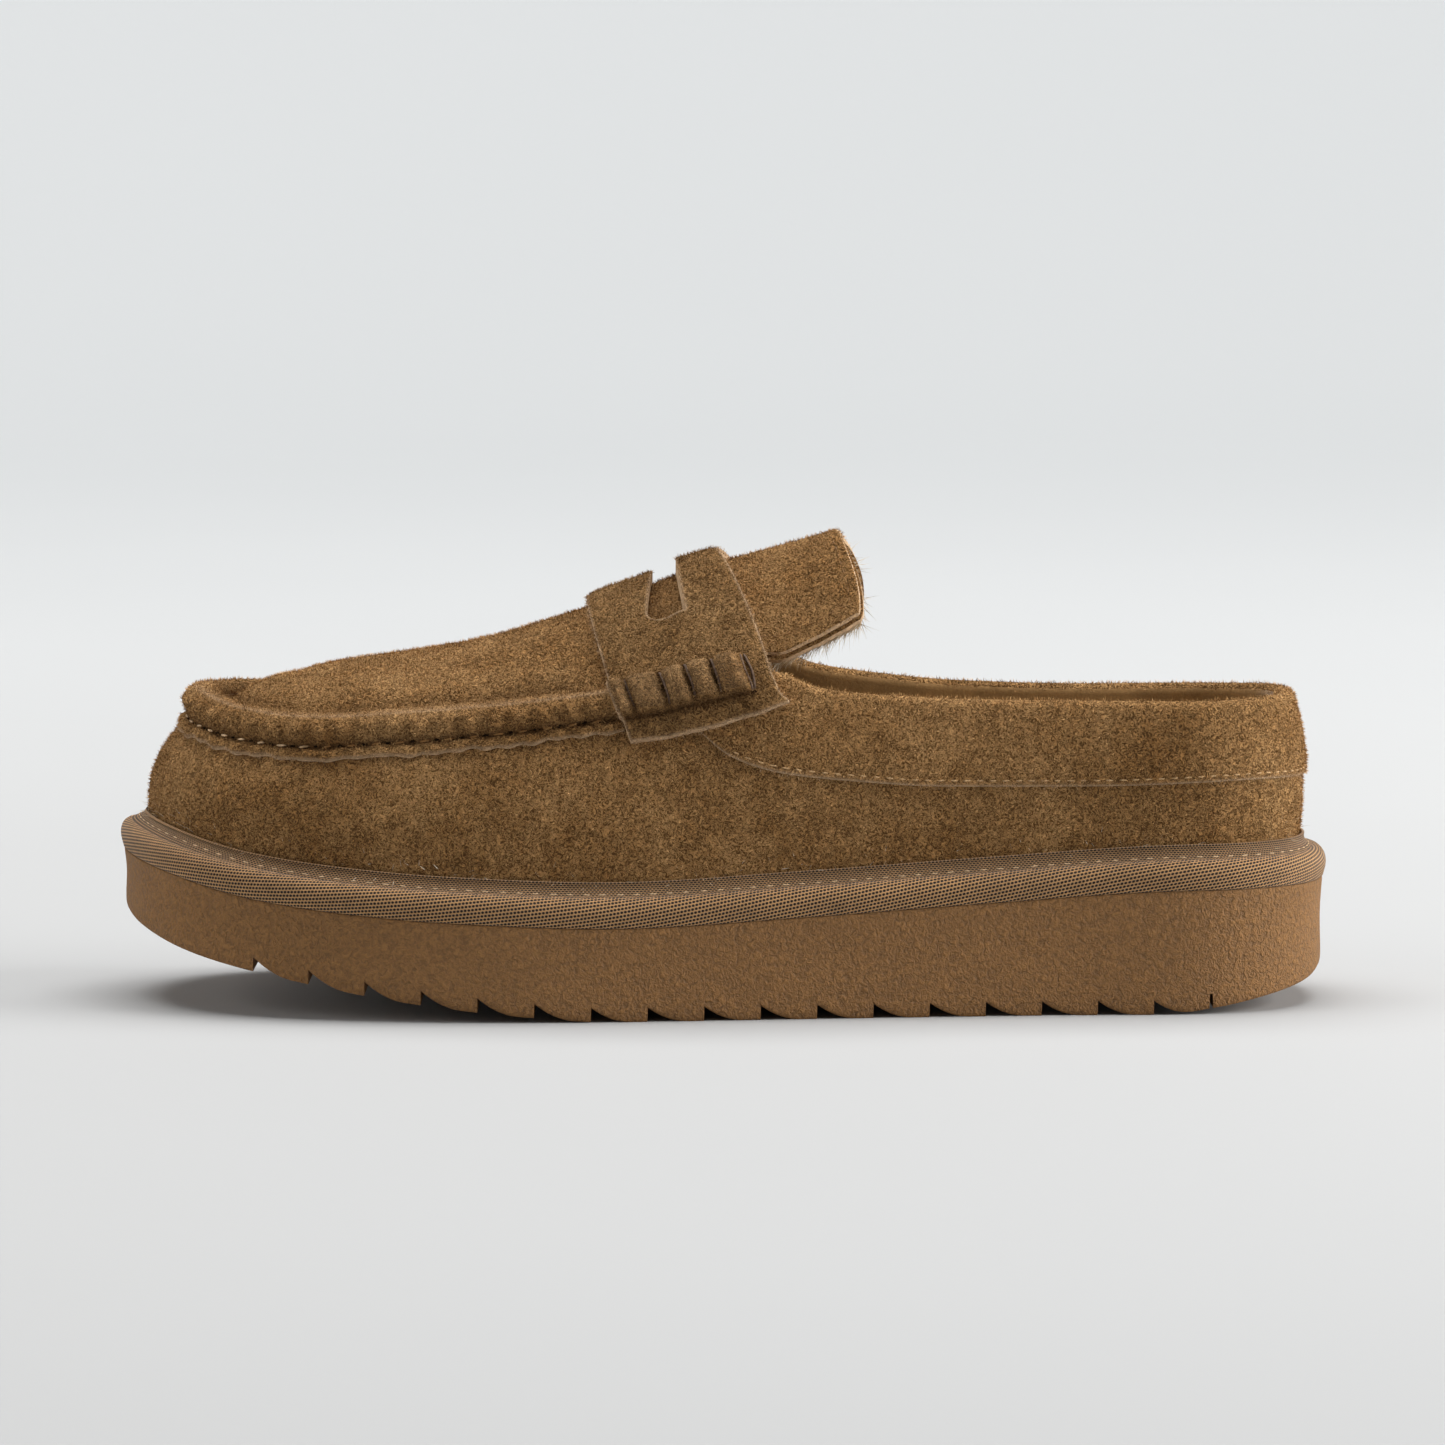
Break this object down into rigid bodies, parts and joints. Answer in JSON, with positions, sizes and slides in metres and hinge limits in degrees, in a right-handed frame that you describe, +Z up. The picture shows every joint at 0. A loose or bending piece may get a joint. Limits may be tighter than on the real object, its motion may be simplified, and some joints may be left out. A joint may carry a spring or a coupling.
{
  "type": "slipper",
  "caption": "Left suede loafer slipper with a hand-sewn apron, slotted saddle strap with rolled ends, low closed heel and a tape-wrapped platform on a ripple sole.",
  "frame": {"origin": "on the floor, under the middle of the shoe's bounding box", "axes": "+X towards the toe, +Y towards the wearer's outer side (left), +Z up"},
  "size_m": [0.2738, 0.1006, 0.1062],
  "materials": {
    "outsole": "moulded foam rubber with a fine pebbled grain",
    "midsole": "woven twill tape",
    "rand": "woven tape edge",
    "insole": "short fleece",
    "upper": "brushed suede with a short nap",
    "apron_roll": "brushed suede with a short nap",
    "collar_band": "brushed suede with a short nap",
    "saddle_strap": "brushed suede with a short nap",
    "beefroll_lateral": "brushed suede with a short nap",
    "beefroll_medial": "brushed suede with a short nap",
    "tongue": "brushed suede with a short nap"
  },
  "bodies": {
    "root": {"outsole": "outsole", "midsole": "midsole", "rand": "rand", "insole": "insole", "upper": "upper", "apron_roll": "apron_roll", "collar_band": "collar_band", "saddle_strap": "saddle_strap", "beefroll_lateral": "beefroll_lateral", "beefroll_medial": "beefroll_medial", "tongue": "tongue"}
  },
  "joints": []
}
